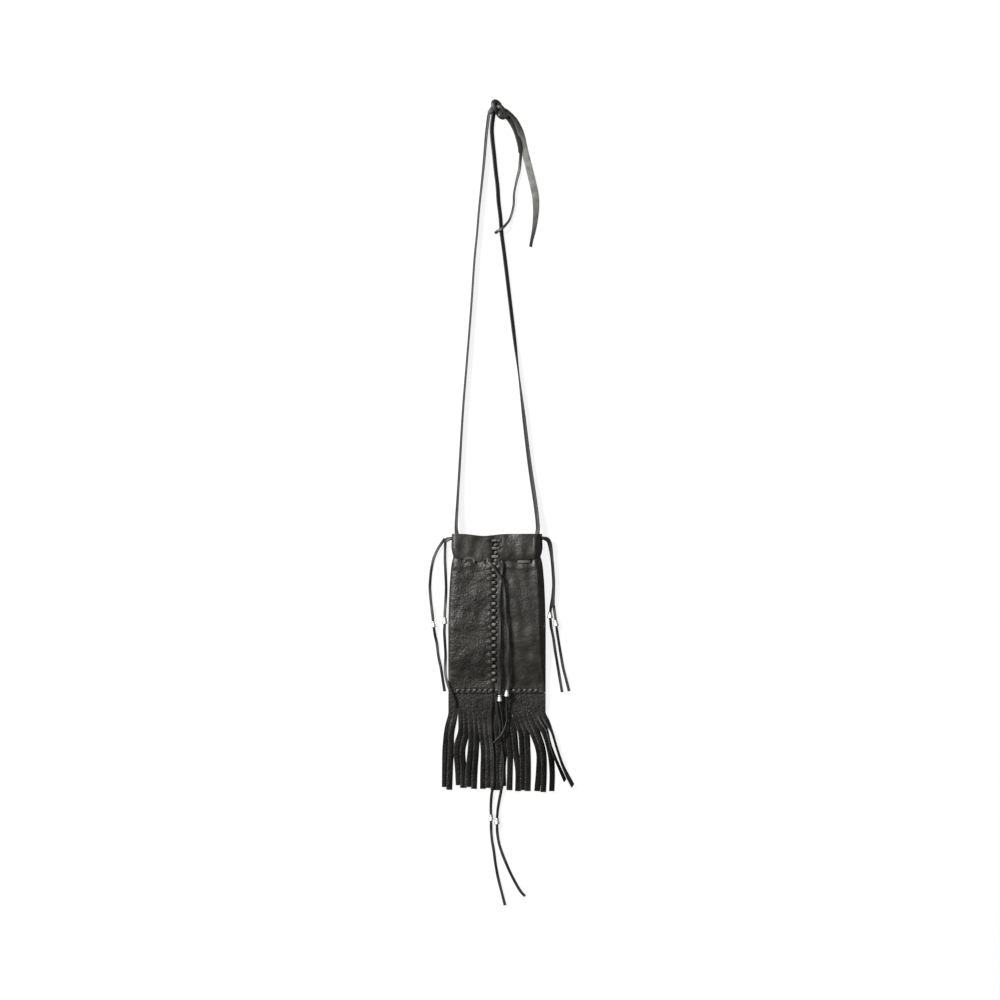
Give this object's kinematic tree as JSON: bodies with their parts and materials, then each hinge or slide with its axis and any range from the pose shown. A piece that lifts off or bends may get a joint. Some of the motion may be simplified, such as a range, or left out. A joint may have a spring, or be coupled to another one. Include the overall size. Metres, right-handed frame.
{
  "type": "fringed neck pouch",
  "caption": "Small leather pouch on a knotted neck strap, with a laced front seam, a drawstring neck, a cut fringe along the bottom and metal beads on its laces.",
  "frame": {"origin": "middle of the pouch's back, on the surface that it lies on", "axes": "+X to the pouch's right as seen from its front, +Y from the bottom edge to the mouth and on to the strap, +Z out of its front"},
  "size_m": [0.1609, 0.8848, 0.0222],
  "materials": {
    "pouch_leather": "black pebbled leather, semi-matt",
    "lace_leather": "black leather lace, smooth face",
    "bead_metal": "polished silver"
  },
  "bodies": {
    "root": {"pouch_body": "pouch_leather", "fringe": "pouch_leather", "front_seam_lace": "lace_leather", "bottom_seam_lace": "lace_leather", "drawstring": "lace_leather", "strap_left": "lace_leather", "strap_right": "lace_leather", "strap_tail_wide": "lace_leather", "strap_tail_narrow": "lace_leather", "strap_knot": "lace_leather", "left_tail_outer": "lace_leather", "left_tail_inner": "lace_leather", "right_tail_inner": "lace_leather", "right_tail_outer": "lace_leather", "drawstring_tail_left": "lace_leather", "drawstring_tail_right": "lace_leather", "seam_tail_left": "lace_leather", "seam_tail_right": "lace_leather", "left_bead_outer": "bead_metal", "left_bead_inner": "bead_metal", "right_bead_inner": "bead_metal", "right_bead_outer": "bead_metal", "drawstring_bead_left": "bead_metal", "drawstring_bead_right": "bead_metal", "seam_bead_left": "bead_metal", "seam_bead_right": "bead_metal"}
  },
  "joints": []
}
